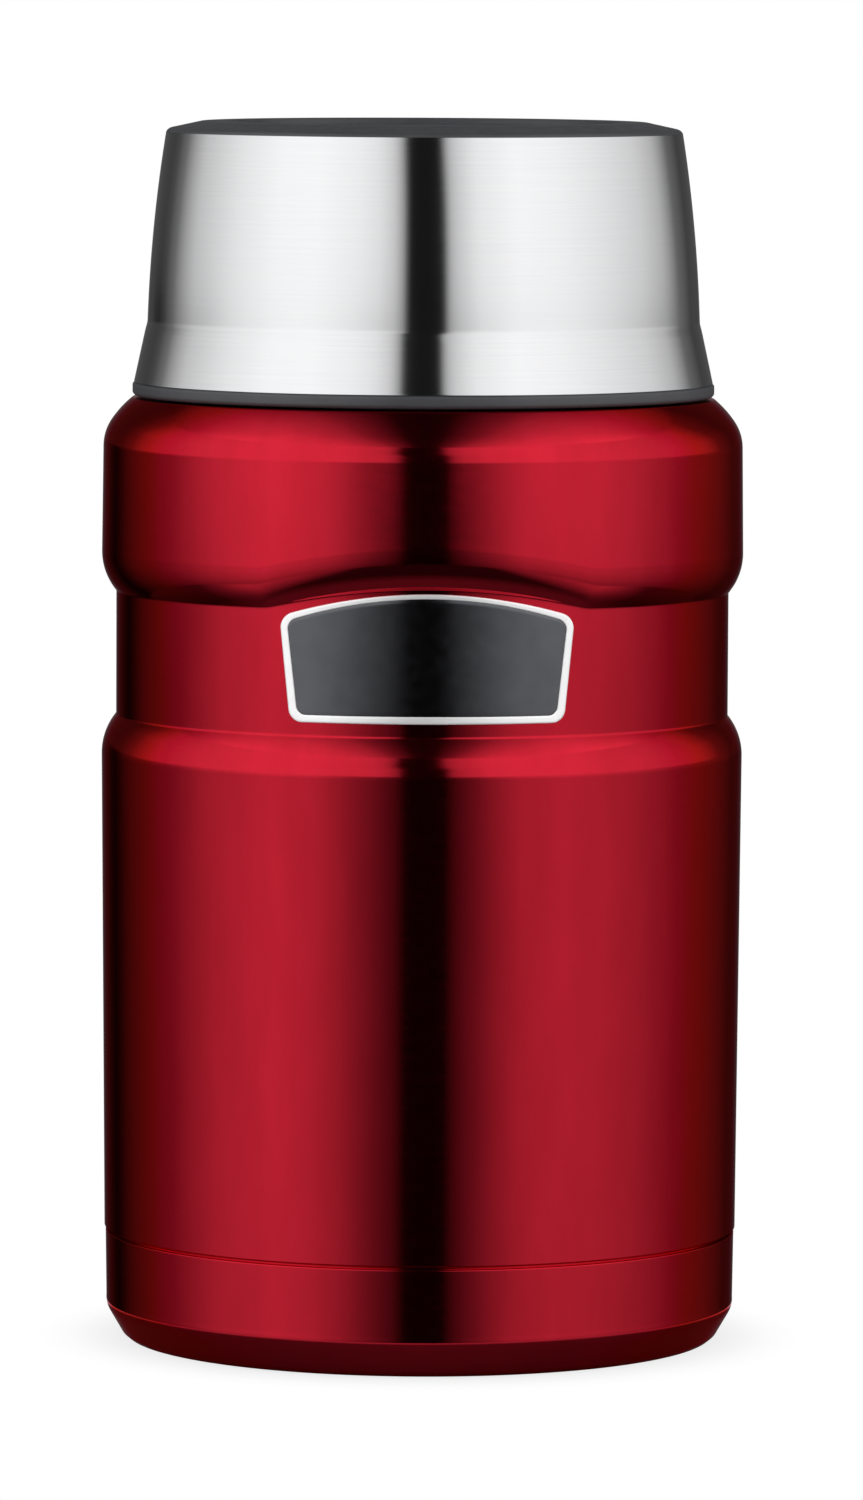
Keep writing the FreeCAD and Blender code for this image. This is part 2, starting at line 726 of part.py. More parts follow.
def build_lid_collar():
    wall = D.shell_wall
    bulge = r_sleeve_foot + D.lip_ring_bulge
    soft = D.lip_ring_round
    upstand = r_straight - wall - D.gasket_clearance
    seal = r_collar_bore + D.collar_seal_width
    body = new_body("lid_collar")
    revolve(body, "lid_collar", [
        (r_collar_bore, z_lid, "line"),
        (bulge - soft, z_lid, "leaves"),
        (bulge, z_lid + soft, "line"),
        (bulge, z_sleeve - soft, "leaves"),
        (bulge - soft, z_sleeve, "line"),
        (r_sleeve_foot - wall, z_sleeve, "line"),
        (r_crease - wall, z_crease, "line"),
        (upstand, z_straight, "line"),
        (upstand, z_liner, "line"),
        (seal, z_liner, "line"),
        (seal, z_collar, "line"),
        (r_collar_bore, z_collar, "line")])
    screw_thread(body, "collar_thread", r_collar_bore, -1,
                 z_rim + D.thread_root + D.thread_lead / (THREAD_STARTS * 2))
    finish(body, "lid_collar")
    ring_body = new_body("liner_seal")
    gap = D.gasket_clearance
    revolve(ring_body, "liner_seal", [
        (r_collar_bore, z_collar + gap, "line"),
        (seal - gap, z_collar + gap, "line"),
        (seal - gap, z_liner - gap, "line"),
        (r_collar_bore, z_liner - gap, "line")])
    finish(ring_body, "liner_seal")


def build_bowl_liner():
    wall = D.vessel_wall
    flange = r_arc - D.shell_wall - D.gasket_clearance
    z_wall = z_liner + D.liner_wall_height
    z_floor = z_wall + D.liner_corner
    r_high = r_liner - D.liner_taper
    body = new_body("bowl_liner")
    revolve(body, "bowl_liner", [
        (r_liner, z_liner, "line"),
        (flange, z_liner, "line"),
        (flange, z_liner + wall, "line"),
        (r_liner + wall, z_liner + wall, "line"),
        (r_high + wall, z_wall, "leaves"),
        (r_high - D.liner_corner, z_floor + wall, "line"),
        (None, z_floor + wall, "line"),
        (None, z_floor, "line"),
        (r_high - D.liner_corner, z_floor, "meets"),
        (r_high, z_wall, "line")])
    finish(body, "bowl_liner")


def build_lid_cap():
    r_crown = r_sleeve_top - D.cap_bevel_depth
    r_top = r_crown - D.cap_crown_width
    r_recess = r_top - D.cap_foot_width
    z_bevel = z_cap + D.cap_bevel_height
    z_under = z_top - D.cap_recess_depth - D.cap_thickness
    skirt = r_sleeve_top - D.shell_wall
    body = new_body("lid_cap")
    revolve(body, "lid_cap", [
        (None, z_under, "line"),
        (skirt - D.cap_skirt_wall, z_under, "line"),
        (skirt - D.cap_skirt_wall, z_cap - D.cap_skirt_height, "line"),
        (skirt, z_cap - D.cap_skirt_height, "line"),
        (skirt, z_cap, "line"),
        (r_sleeve_top, z_cap, "meets"),
        (r_crown, z_bevel, "line"),
        (r_top, z_top, "line"),
        (r_recess, z_top, "line"),
        (r_recess - D.cap_recess_depth, z_top - D.cap_recess_depth, "line"),
        (None, z_top - D.cap_recess_depth, "line")])
    finish(body, "lid_cap")


build_outer_shell()
build_base_cup()
build_bottom_plate()
build_getter()
build_inner_vessel()
build_radiation_foil()
build_badge()
build_stopper()
build_lid_sleeve()
build_lid_collar()
build_bowl_liner()
build_lid_cap()
doc.recompute()

# Every object must be sound before anything is written
for thing in doc.Objects:
    if "Invalid" in thing.State or "Error" in thing.State:
        raise RuntimeError(thing.Name + " failed: " + str(thing.State))
for label, feature in parts.items():
    shape = feature.Shape
    if shape.isNull() or not shape.isValid() or not shape.Solids:
        raise RuntimeError(label + " has no valid solid")

os.makedirs("parts", exist_ok=True)
for label, feature in parts.items():
    feature.Shape.exportStep("parts/" + label + ".step")
    box = feature.Shape.BoundBox
    print(label, round(feature.Shape.Volume, 1), len(feature.Shape.Solids),
          round(box.ZMin, 2), round(box.ZMax, 2), round(box.XMax, 2))
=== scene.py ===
import bmesh
import bpy
import json
import math
from mathutils import Matrix, Quaternion, Vector

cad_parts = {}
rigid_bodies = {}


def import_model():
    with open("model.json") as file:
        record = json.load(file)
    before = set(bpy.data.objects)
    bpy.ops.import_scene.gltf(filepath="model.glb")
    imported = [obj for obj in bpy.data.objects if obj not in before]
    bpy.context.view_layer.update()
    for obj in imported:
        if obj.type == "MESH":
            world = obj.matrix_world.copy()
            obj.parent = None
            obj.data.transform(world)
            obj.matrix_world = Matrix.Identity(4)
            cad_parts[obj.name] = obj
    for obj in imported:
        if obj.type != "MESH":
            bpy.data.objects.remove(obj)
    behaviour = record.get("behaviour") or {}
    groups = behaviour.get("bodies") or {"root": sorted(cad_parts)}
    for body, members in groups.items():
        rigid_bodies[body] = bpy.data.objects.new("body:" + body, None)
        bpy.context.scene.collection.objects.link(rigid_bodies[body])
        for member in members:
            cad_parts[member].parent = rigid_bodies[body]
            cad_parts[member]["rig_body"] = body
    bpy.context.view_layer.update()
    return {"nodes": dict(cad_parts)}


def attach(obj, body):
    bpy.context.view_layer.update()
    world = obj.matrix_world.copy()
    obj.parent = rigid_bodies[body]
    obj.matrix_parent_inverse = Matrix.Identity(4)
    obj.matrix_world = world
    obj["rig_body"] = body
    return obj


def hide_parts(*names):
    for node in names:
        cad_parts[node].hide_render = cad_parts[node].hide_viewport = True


# Insulated food jar: red lacquered barrel, badge, screw-on steel bowl lid and stopper.
# Lengths in the outlines are in millimetres, as in the part's source.

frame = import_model()
MM = 0.001
FULL_TURN = 2 * math.pi

# Radii and levels of the jar
SHEET = 0.6
BARREL = 49.99
BARREL_FOOT = 49.42
BARREL_TOP = 49.8
BAND = 47.75
RIM = 45.3
NECK = 39.4
SEAM_LEVEL = 16.9
SHELL_FOOT = 17.2
GROOVE_LOW = 91.5
BAND_LOW = 97.7
BAND_HIGH = 117.0
GROOVE_HIGH = 123.2
SHOULDER = 139.6
SLOPE = 48.6
SLOPE_LEVEL = 143.5
RIM_LEAN = math.radians(34)
RIM_LEVEL = 147.1
MOUTH_LEVEL = 161.0

# Arch of the groove over the badge
ARCH_RISE = 3.2
ARCH_HALF_ANGLE = math.radians(30.6)
ARCH_SOFTNESS = 0.05

# Screw threads
THREAD_STARTS = 3
THREAD_LEAD = 12.0
THREAD_TURNS = 0.55
THREAD_ROUND = 0.9
NECK_THREAD_LOW = 149.8
COLLAR_THREAD_LOW = 151.8
COLLAR_BORE = 40.7


# Half sections and turned pieces

def arc_after(start, end, towards, count):
    """Points of the arc from start to end that leaves start along towards, ends left out."""
    chord = (end[0] - start[0], end[1] - start[1])
    normal = (-towards[1], towards[0])
    length = math.hypot(*towards)
    reach = (chord[0] ** 2 + chord[1] ** 2) * length / (2 * (chord[0] * normal[0] + chord[1] * normal[1]))
    centre = (start[0] + normal[0] * reach / length, start[1] + normal[1] * reach / length)
    first = math.atan2(start[1] - centre[1], start[0] - centre[0])
    last = math.atan2(end[1] - centre[1], end[0] - centre[0])
    sweep = (last - first + math.pi) % FULL_TURN - math.pi
    points = []
    for i in range(1, count):
        angle = first + sweep * i / count
        points.append((centre[0] + abs(reach) * math.cos(angle), centre[1] + abs(reach) * math.sin(angle)))
    return points


def softened(corners, step=math.radians(11)):
    """A closed outline whose corners (across, up, radius) are rounded off."""
    points = []
    count = len(corners)
    for i, corner in enumerate(corners):
        here = Vector(corner[:2])
        radius = corner[2] if len(corner) > 2 else 0
        to_last = Vector(corners[i - 1][:2]) - here
        to_next = Vector(corners[(i + 1) % count][:2]) - here
        turn = math.pi - to_last.angle(to_next)
        if radius == 0 or turn < 0.01:
            points.append(tuple(here))
            continue
        cut = min(radius * math.tan(turn / 2), 0.45 * to_last.length, 0.45 * to_next.length)
        start = here + to_last.normalized() * cut
        end = here + to_next.normalized() * cut
        points.append(tuple(start))
        points += arc_after(start, end, -to_last, max(2, math.ceil(turn / step)))
        points.append(tuple(end))
    return points


def supported(points, margin=0.25):
    """The outline with a point close to each end of its long runs, so that flats shade flat."""
    result = []
    for i, here in enumerate(points):
        there = points[(i + 1) % len(points)]
        result.append(here)
        length = math.dist(here, there)
        if length > 4 * margin:
            for share in (margin / length, 1 - margin / length):
                result.append((here[0] + (there[0] - here[0]) * share,
                               here[1] + (there[1] - here[1]) * share))
    return result


def mesh_piece(name, verts, faces, finish):
    mesh = bpy.data.meshes.new(name)
    mesh.from_pydata(verts, [], faces)
    mesh.materials.append(finish)
    mesh.validate()
    piece = bpy.data.objects.new(name, mesh)
    bpy.context.scene.collection.objects.link(piece)
    return piece


def shade_smooth(piece, sharp=math.radians(34)):
    piece.data.shade_smooth()
    piece.data.set_sharp_from_angle(angle=sharp)


def turned(name, outline, finish, columns=256, warp=None):
    """A closed piece of revolution from a counter-clockwise outline (radius, height)."""
    rows = []
    verts = []
    for radius, height in outline:
        if radius < 0.001:
            rows.append([len(verts)] * columns)
            verts.append((0, 0, height * MM))
            continue
        rows.append(range(len(verts), len(verts) + columns))
        for j in range(columns):
            angle = FULL_TURN * j / columns - math.pi / 2
            level = warp(angle, height) if warp else height
            verts.append((radius * math.cos(angle) * MM, radius * math.sin(angle) * MM, level * MM))
    faces = []
    for i, row in enumerate(rows):
        after = rows[(i + 1) % len(rows)]
        for j in range(columns):
            k = (j + 1) % columns
            corners = [row[j], row[k], after[k], after[j]]
            face = [c for n, c in enumerate(corners) if c != corners[n - 1]]
            if len(set(face)) > 2:
                faces.append(face)
    piece = mesh_piece(name, verts, faces, finish)
    shade_smooth(piece)
    return piece


# Finishes

def maths_node(tree, operation, *values):
    """The result of a maths node whose values are numbers or sockets."""
    node = tree.nodes.new("ShaderNodeMath")
    node.operation = operation
    for i, value in enumerate(values):
        if isinstance(value, (int, float)):
            node.inputs[i].default_value = value
        else:
            tree.links.new(value, node.inputs[i])
    return node.outputs[0]


class Finish:
    """A procedural material on the piece's own object coordinates."""

    def __init__(self, name, **values):
        self.material = bpy.data.materials.new(name)
        self.material.use_nodes = True
        self.tree = self.material.node_tree
        self.shader = self.tree.nodes["Principled BSDF"]
        for socket, value in values.items():
            self.shader.inputs[socket.replace("_", " ")].default_value = value
        self.place = self.tree.nodes.new("ShaderNodeTexCoord").outputs["Object"]

    def join(self, source, target):
        self.tree.links.new(source, target)

    def mapped(self, scale):
        node = self.tree.nodes.new("ShaderNodeMapping")
        node.inputs["Scale"].default_value = scale
        self.join(self.place, node.inputs["Vector"])
        return node.outputs["Vector"]

    def noise(self, scale, detail=3.0, roughness=0.5):
        """Noise with a scale per metre along each axis."""
        node = self.tree.nodes.new("ShaderNodeTexNoise")
        node.inputs["Scale"].default_value = 1.0
        node.inputs["Detail"].default_value = detail
        node.inputs["Roughness"].default_value = roughness
        self.join(self.mapped(scale), node.inputs["Vector"])
        return node.outputs["Fac"]

    def cells(self, scale):
        node = self.tree.nodes.new("ShaderNodeTexVoronoi")
        node.inputs["Scale"].default_value = 1.0
        self.join(self.mapped(scale), node.inputs["Vector"])
        return node.outputs["Distance"]

    def spread(self, source, low, high, dark=0.3, light=0.7):
        """The source's range from dark to light, spread over low to high."""
        node = self.tree.nodes.new("ShaderNodeMapRange")
        node.inputs["From Min"].default_value = dark
        node.inputs["From Max"].default_value = light
        node.inputs["To Min"].default_value = low
        node.inputs["To Max"].default_value = high
        self.join(source, node.inputs["Value"])
        return node.outputs["Result"]

    def tone(self, source, first, second):
        """The base colour between two tones."""
        node = self.tree.nodes.new("ShaderNodeMix")
        node.data_type = "RGBA"
        node.inputs["A"].default_value = (*first, 1)
        node.inputs["B"].default_value = (*second, 1)
        self.join(source, node.inputs["Factor"])
        self.join(node.outputs["Result"], self.shader.inputs["Base Color"])

    def roughness(self, source, low, high):
        self.join(self.spread(source, low, high), self.shader.inputs["Roughness"])

    def relief(self, source, depth, strength=1.0):
        """A fine relief, depth in millimetres."""
        node = self.tree.nodes.new("ShaderNodeBump")
        node.inputs["Strength"].default_value = strength
        node.inputs["Distance"].default_value = depth * MM
        self.join(source, node.inputs["Height"])
        self.join(node.outputs["Normal"], self.shader.inputs["Normal"])

    def brushed_around(self):
        node = self.tree.nodes.new("ShaderNodeTangent")
        node.direction_type = "RADIAL"
        node.axis = "Z"
        self.join(node.outputs["Tangent"], self.shader.inputs["Tangent"])


def red_lacquer():
    f = Finish("red_lacquer", Metallic=1.0, Coat_Weight=0.1, Coat_Roughness=0.03)
    f.shader.inputs["Specular Tint"].default_value = (1.0, 0.1, 0.16, 1)
    f.tone(f.spread(f.noise((220, 220, 60)), 0, 1), (0.385, 0.0072, 0.019), (0.42, 0.0085, 0.022))
    f.roughness(f.noise((300, 300, 900)), 0.085, 0.115)
    f.relief(f.noise((1400, 1400, 1400), 2.0), 0.0012)
    return f.material


def brushed_steel():
    f = Finish("brushed_steel", Metallic=1.0, Anisotropic=0.9, Anisotropic_Rotation=0.25)
    streaks = f.noise((40, 40, 7000), 4.0, 0.65)
    f.tone(f.spread(streaks, 0, 1), (0.54, 0.543, 0.552), (0.575, 0.576, 0.58))
    f.roughness(streaks, 0.11, 0.15)
    f.relief(streaks, 0.0012, 0.3)
    f.brushed_around()
    return f.material


def drawn_steel():
    f = Finish("plain_steel", Metallic=1.0)
    rings = f.noise((60, 60, 1800), 3.0)
    f.tone(f.spread(rings, 0, 1), (0.53, 0.53, 0.535), (0.61, 0.61, 0.61))
    f.roughness(rings, 0.2, 0.32)
    f.relief(rings, 0.004, 0.4)
    return f.material


def moulded_plastic(name, first, second, low, high, grain=0.006):
    f = Finish(name, Specular_IOR_Level=0.5)
    f.tone(f.spread(f.noise((160, 160, 160)), 0, 1), first, second)
    f.roughness(f.noise((500, 500, 500)), low, high)
    f.relief(f.noise((3600, 3600, 3600), 2.0), grain)
    return f.material


def silicone_rubber():
    f = Finish("silicone", Specular_IOR_Level=0.4, Subsurface_Weight=0.15)
    f.shader.inputs["Subsurface Scale"].default_value = 0.002
    f.tone(f.spread(f.noise((400, 400, 400)), 0, 1), (0.56, 0.56, 0.54), (0.64, 0.64, 0.62))
    f.roughness(f.noise((900, 900, 900)), 0.5, 0.62)
    f.relief(f.noise((2500, 2500, 2500), 2.0), 0.004)
    return f.material


def rigid_foam():
    f = Finish("insulating_foam")
    beads = f.cells((1100, 1100, 1100))
    f.tone(f.spread(beads, 0, 1, 0.1, 0.9), (0.66, 0.62, 0.5), (0.78, 0.75, 0.64))
    f.roughness(beads, 0.75, 0.9)
    f.relief(beads, 0.15, 0.6)
    return f.material


def wrinkled_copper():
    f = Finish("copper_foil", Metallic=1.0)
    folds = f.noise((70, 70, 110), 5.0, 0.6)
    f.tone(f.spread(folds, 0, 1), (0.72, 0.33, 0.19), (0.83, 0.42, 0.27))
    f.roughness(folds, 0.2, 0.35)
    f.relief(folds, 0.25, 0.5)
    return f.material


def sintered_getter():
    f = Finish("getter_metal", Metallic=0.8)
    pores = f.cells((4200, 4200, 4200))
    f.tone(f.spread(pores, 0, 1, 0.1, 0.8), (0.12, 0.12, 0.125), (0.24, 0.235, 0.23))
    f.roughness(pores, 0.6, 0.8)
    f.relief(pores, 0.05, 0.7)
    return f.material


def fused_glass():
    f = Finish("seal_glass", IOR=1.52)
    f.tone(f.spread(f.noise((700, 700, 700)), 0, 1), (0.035, 0.05, 0.055), (0.07, 0.09, 0.095))
    f.roughness(f.noise((500, 500, 500)), 0.05, 0.14)
    f.relief(f.noise((900, 900, 900)), 0.02, 0.4)
    return f.material


def bright_border():
    f = Finish("bright_plate", Metallic=0.45)
    f.tone(f.spread(f.noise((300, 300, 300)), 0, 1), (0.96, 0.96, 0.96), (1.0, 1.0, 1.0))
    f.roughness(f.noise((60, 60, 2500)), 0.28, 0.36)
    f.relief(f.noise((1800, 1800, 1800)), 0.001)
    return f.material


def dark_enamel():
    f = Finish("badge_enamel", Metallic=1.0, Coat_Weight=0.1, Coat_Roughness=0.04)
    f.tone(f.spread(f.noise((260, 260, 260)), 0, 1), (0.082, 0.084, 0.092), (0.094, 0.096, 0.104))
    f.roughness(f.noise((500, 500, 500)), 0.13, 0.18)
    f.relief(f.noise((1500, 1500, 1500), 2.0), 0.0015)
    return f.material


LACQUER = red_lacquer()
STEEL_BRUSHED = brushed_steel()
STEEL = drawn_steel()
LID_PLASTIC = moulded_plastic("dark_plastic", (0.05, 0.052, 0.057), (0.059, 0.061, 0.066), 0.36, 0.46)
BLACK_PLASTIC = moulded_plastic("black_plastic", (0.018, 0.018, 0.019), (0.026, 0.026, 0.027), 0.38, 0.5)
SILICONE = silicone_rubber()
FOAM = rigid_foam()
COPPER = wrinkled_copper()
GETTER = sintered_getter()
GLASS = fused_glass()
BORDER = bright_border()
ENAMEL = dark_enamel()


def place(piece, body, slot, *nodes):
    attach(piece, body)
    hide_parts(*nodes)


# Jar

def groove_arch(angle, height):
    """Lift of the groove's upper edge over the badge, fading to nothing at the shoulder."""
    side = math.sin(angle + math.pi / 2) / math.sin(ARCH_HALF_ANGLE)
    share = 1 - side * side if math.sin(angle) < 0 else -1
    rise = ARCH_RISE * (share + math.hypot(share, ARCH_SOFTNESS)) / 2
    if height <= BAND_LOW or height >= SHOULDER:
        return height
    if height < BAND_HIGH:
        return height + rise * (height - BAND_LOW) / (BAND_HIGH - BAND_LOW)
    if height > GROOVE_HIGH:
        return height + rise * (SHOULDER - height) / (SHOULDER - GROOVE_HIGH)
    return height + rise


def barrel_side(inset):
    """The barrel from its foot to the rim, set in by inset."""
    foot = (BARREL_FOOT - inset, SHELL_FOOT + 0.3 + inset)
    groove_start = (BARREL - inset, GROOVE_LOW)
    band_start = (BAND - inset, BAND_LOW)
    band_end = (BAND - inset, BAND_HIGH)
    groove_end = (BARREL - inset, GROOVE_HIGH)
    top = (BARREL_TOP - inset, SHOULDER)
    slope = (SLOPE - inset, SLOPE_LEVEL)
    rim = (RIM - inset, RIM_LEVEL - inset)
    lower = arc_after(groove_start, band_start, (BARREL - BARREL_FOOT, GROOVE_LOW - SHELL_FOOT), 16)
    upper = arc_after(groove_end, band_end, (BARREL - BARREL_TOP, GROOVE_HIGH - SHOULDER), 16)
    return ([foot, groove_start] + lower + [(*band_start, 0.8), (*band_end, 0.8)] + upper[::-1]
            + [groove_end, top] + arc_after(top, slope, (BARREL_TOP - BARREL, SHOULDER - GROOVE_HIGH), 8)
            + [slope] + arc_after(slope, rim, (-math.tan(RIM_LEAN), 1.0), 10))


def make_barrel():
    outer = ([(48.5, 6.4), (48.5, SHELL_FOOT), (49.12, SHELL_FOOT, 0.1)] + barrel_side(0)
             + [(RIM, RIM_LEVEL, 0.4), (42.0, RIM_LEVEL)])
    inner = ([(42.0, RIM_LEVEL - SHEET), (RIM - SHEET, RIM_LEVEL - SHEET)] + barrel_side(SHEET)[::-1]
             + [(48.5, SHELL_FOOT + SHEET), (47.9, SHELL_FOOT + SHEET), (47.9, 6.4)])
    barrel = turned("barrel", supported(softened(outer + inner)), LACQUER, 384, groove_arch)
    place(barrel, "jar", "red_lacquer", "outer_shell")


def make_neck():
    neck = turned("neck", supported(softened([
        (42.0, RIM_LEVEL - SHEET), (42.0, RIM_LEVEL), (NECK, RIM_LEVEL, 0.8), (NECK, MOUTH_LEVEL),
        (NECK - SHEET, MOUTH_LEVEL), (NECK - SHEET, RIM_LEVEL - SHEET, 0.5)])), STEEL)
    place(neck, "jar", "plain_steel", "outer_shell")
    thread = screw_thread("neck_thread", NECK, NECK_THREAD_LOW, STEEL)
    place(thread, "jar", "plain_steel", "outer_shell")


def make_base_cup():
    cup = turned("base_cup_skin", supported(softened([
        (0, 1.2), (36.8, 1.2, 0.5), (38.0, 0, 0.6), (45.6, 0, 0.8), (46.6, 0.8, 1.0), (48.65, 4.3)]
        + arc_after((48.65, 4.3), (49.1, 6.4), (2.05, 3.5), 6)
        + [(49.1, 6.4), (49.24, SEAM_LEVEL, 0.22), (48.5, SEAM_LEVEL), (48.5, 6.4), (47.25, 3.85),
           (46.0, 1.4), (45.3, 0.6), (38.3, 0.6), (37.1, 1.8), (0, 1.8)])), LACQUER, 320)
    place(cup, "jar", "red_lacquer", "base_cup")


# Badge: bright border plate with a plain dark field
BADGE_LOW = 99.9
BADGE_PEAK = 119.6
BADGE_TOP_HALF = 22.4
BADGE_BOTTOM_HALF = 20.8
BADGE_ARCH = 3.7
BADGE_CORNER = 1.9
UPPER_BORDER_SHARE = 0.62
BADGE_ACROSS = 96
BADGE_UP = 28


def badge_spot(u, v, inset, radius):
    """A point of the badge's rounded shape, u from -1 to 1 across and v from 0 to 1 upwards."""
    low, peak = BADGE_LOW + inset, BADGE_PEAK - UPPER_BORDER_SHARE * inset
    top, bottom = BADGE_TOP_HALF - inset, BADGE_BOTTOM_HALF - inset
    corner = peak - BADGE_ARCH
    crown = (top * top + BADGE_ARCH * BADGE_ARCH) / (2 * BADGE_ARCH)
    soft = BADGE_CORNER - inset / 2
    edge = max(0.0, abs(u) * top - (top - soft)) / soft
    drop = soft * (1 - math.sqrt(max(0.0, 1 - edge * edge)))
    z_low = low + drop
    z_high = peak - crown + math.sqrt(crown * crown - (u * top) ** 2) - drop
    height = z_low + (z_high - z_low) * v
    across = u * (bottom + (top - bottom) * min(1.0, (height - low) / (corner - low)))
    return (across * MM, -math.sqrt(radius * radius - across * across) * MM, height * MM)


def badge_layers(name, layers, finish):
    """A curved solid from (inset, radius) layers: the first is its back, the last its front."""
    across = [math.sin(math.pi / 2 * math.sin(math.pi / 2 * (2 * i / BADGE_ACROSS - 1)))
              for i in range(BADGE_ACROSS + 1)]
    verts = []
    index = {}

    def vertex(layer, i, j):
        key = (layer, i, j)
        if key not in index:
            index[key] = len(verts)
            verts.append(badge_spot(across[i], j / BADGE_UP, *layers[layer]))
        return index[key]

    border = ([(i, 0) for i in range(BADGE_ACROSS)]
              + [(BADGE_ACROSS, j) for j in range(BADGE_UP)]
              + [(i, BADGE_UP) for i in range(BADGE_ACROSS, 0, -1)]
              + [(0, j) for j in range(BADGE_UP, 0, -1)])
    faces = []
    for layer in range(len(layers) - 1):
        for n, spot in enumerate(border):
            after = border[(n + 1) % len(border)]
            faces.append((vertex(layer, *spot), vertex(layer, *after), vertex(layer + 1, *after),
                          vertex(layer + 1, *spot)))
    for layer, front in ((0, False), (len(layers) - 1, True)):
        for i in range(BADGE_ACROSS):
            for j in range(BADGE_UP):
                corners = [vertex(layer, i, j), vertex(layer, i + 1, j), vertex(layer, i + 1, j + 1),
                           vertex(layer, i, j + 1)]
                faces.append(corners if front else corners[::-1])
    piece = mesh_piece(name, verts, faces, finish)
    shade_smooth(piece, math.radians(50))
    return piece


def make_badge():
    plate = badge_layers("badge_border", [
        (0, 47.76), (0, 48.3), (0.02, 48.38), (0.08, 48.43), (0.18, 48.45), (0.35, 48.45), (0.95, 48.45),
        (1.07, 48.44), (1.13, 48.4), (1.15, 48.33), (1.15, 48.1)], BORDER)
    place(plate, "jar", "bright_plate", "badge_plate")
    field = badge_layers("badge_field", [
        (1.15, 48.11), (1.15, 48.3), (1.17, 48.34), (1.24, 48.35)], ENAMEL)
    place(field, "jar", "badge_enamel", "badge_inlay")


# Screw threads on the neck and in the collar, by geometry nodes

def thread_tree():
    tree = bpy.data.node_groups.new("screw_thread", "GeometryNodeTree")
    face = tree.interface
    for name, kind in (("Radius", "NodeSocketFloat"), ("Low", "NodeSocketFloat"),
                       ("Lead", "NodeSocketFloat"), ("Turns", "NodeSocketFloat"),
                       ("Starts", "NodeSocketInt"), ("Ridge Radius", "NodeSocketFloat"),
                       ("Finish", "NodeSocketMaterial")):
        face.new_socket(name, in_out="INPUT", socket_type=kind)
    face.new_socket("Geometry", in_out="OUTPUT", socket_type="NodeSocketGeometry")
    nodes, link = tree.nodes, tree.links.new
    given = nodes.new("NodeGroupInput").outputs
    result = nodes.new("NodeGroupOutput")

    def maths(operation, *values):
        return maths_node(tree, operation, *values)

    spiral = nodes.new("GeometryNodeCurveSpiral")
    spiral.inputs["Resolution"].default_value = 120
    spiral.inputs["Reverse"].default_value = True
    link(given["Turns"], spiral.inputs["Rotations"])
    link(given["Radius"], spiral.inputs["Start Radius"])
    link(given["Radius"], spiral.inputs["End Radius"])
    link(maths("MULTIPLY", given["Lead"], given["Turns"]), spiral.inputs["Height"])
    along = nodes.new("GeometryNodeSplineParameter").outputs["Factor"]
    runout = maths("MINIMUM", maths("MINIMUM", maths("MULTIPLY", along, 18.0), 1.0),
                   maths("MULTIPLY", maths("SUBTRACT", 1.0, along), 18.0))
    thickness = maths("ADD", maths("MULTIPLY", runout, 0.95), 0.05)
    taper = nodes.new("GeometryNodeSetCurveRadius")
    link(spiral.outputs["Curve"], taper.inputs["Curve"])
    link(thickness, taper.inputs["Radius"])
    ridge = nodes.new("GeometryNodeCurvePrimitiveCircle")
    ridge.inputs["Resolution"].default_value = 14
    link(given["Ridge Radius"], ridge.inputs["Radius"])
    sweep = nodes.new("GeometryNodeCurveToMesh")
    sweep.inputs["Fill Caps"].default_value = True
    link(taper.outputs["Curve"], sweep.inputs["Curve"])
    link(ridge.outputs["Curve"], sweep.inputs["Profile Curve"])
    if "Scale" in sweep.inputs:
        link(thickness, sweep.inputs["Scale"])
    starts = nodes.new("GeometryNodeMeshLine")
    starts.inputs["Offset"].default_value = (0, 0, 0)
    link(given["Starts"], starts.inputs["Count"])
    shift = nodes.new("ShaderNodeCombineXYZ")
    link(given["Low"], shift.inputs["Z"])
    link(shift.outputs["Vector"], starts.inputs["Start Location"])
    number = nodes.new("GeometryNodeInputIndex").outputs["Index"]
    turn = nodes.new("ShaderNodeCombineXYZ")
    step = maths("DIVIDE", FULL_TURN, given["Starts"])
    link(maths("MULTIPLY", number, step), turn.inputs["Z"])
    copies = nodes.new("GeometryNodeInstanceOnPoints")
    link(starts.outputs["Mesh"], copies.inputs["Points"])
    link(sweep.outputs["Mesh"], copies.inputs["Instance"])
    link(turn.outputs["Vector"], copies.inputs["Rotation"])
    real = nodes.new("GeometryNodeRealizeInstances")
    link(copies.outputs["Instances"], real.inputs["Geometry"])
    paint = nodes.new("GeometryNodeSetMaterial")
    link(real.outputs["Geometry"], paint.inputs["Geometry"])
    link(given["Finish"], paint.inputs["Material"])
    link(paint.outputs["Geometry"], result.inputs["Geometry"])
    return tree


THREAD_TREE = thread_tree()


def grown(name, tree, base, **values):
    """The plain mesh that a geometry nodes tree makes from a base mesh and named sizes."""
    source = bpy.data.objects.new(name + "_source", base)
    bpy.context.scene.collection.objects.link(source)
    modifier = source.modifiers.new("shape", "NODES")
    modifier.node_group = tree
    for item in tree.interface.items_tree:
        if item.item_type == "SOCKET" and item.in_out == "INPUT" and item.name in values:
            modifier[item.identifier] = values[item.name]
    bpy.context.view_layer.update()
    shape = source.evaluated_get(bpy.context.evaluated_depsgraph_get())
    mesh = bpy.data.meshes.new_from_object(shape)
    mesh.name = name
    source.modifiers.clear()
    bpy.data.objects.remove(source)
    piece = bpy.data.objects.new(name, mesh)
    bpy.context.scene.collection.objects.link(piece)
    return piece


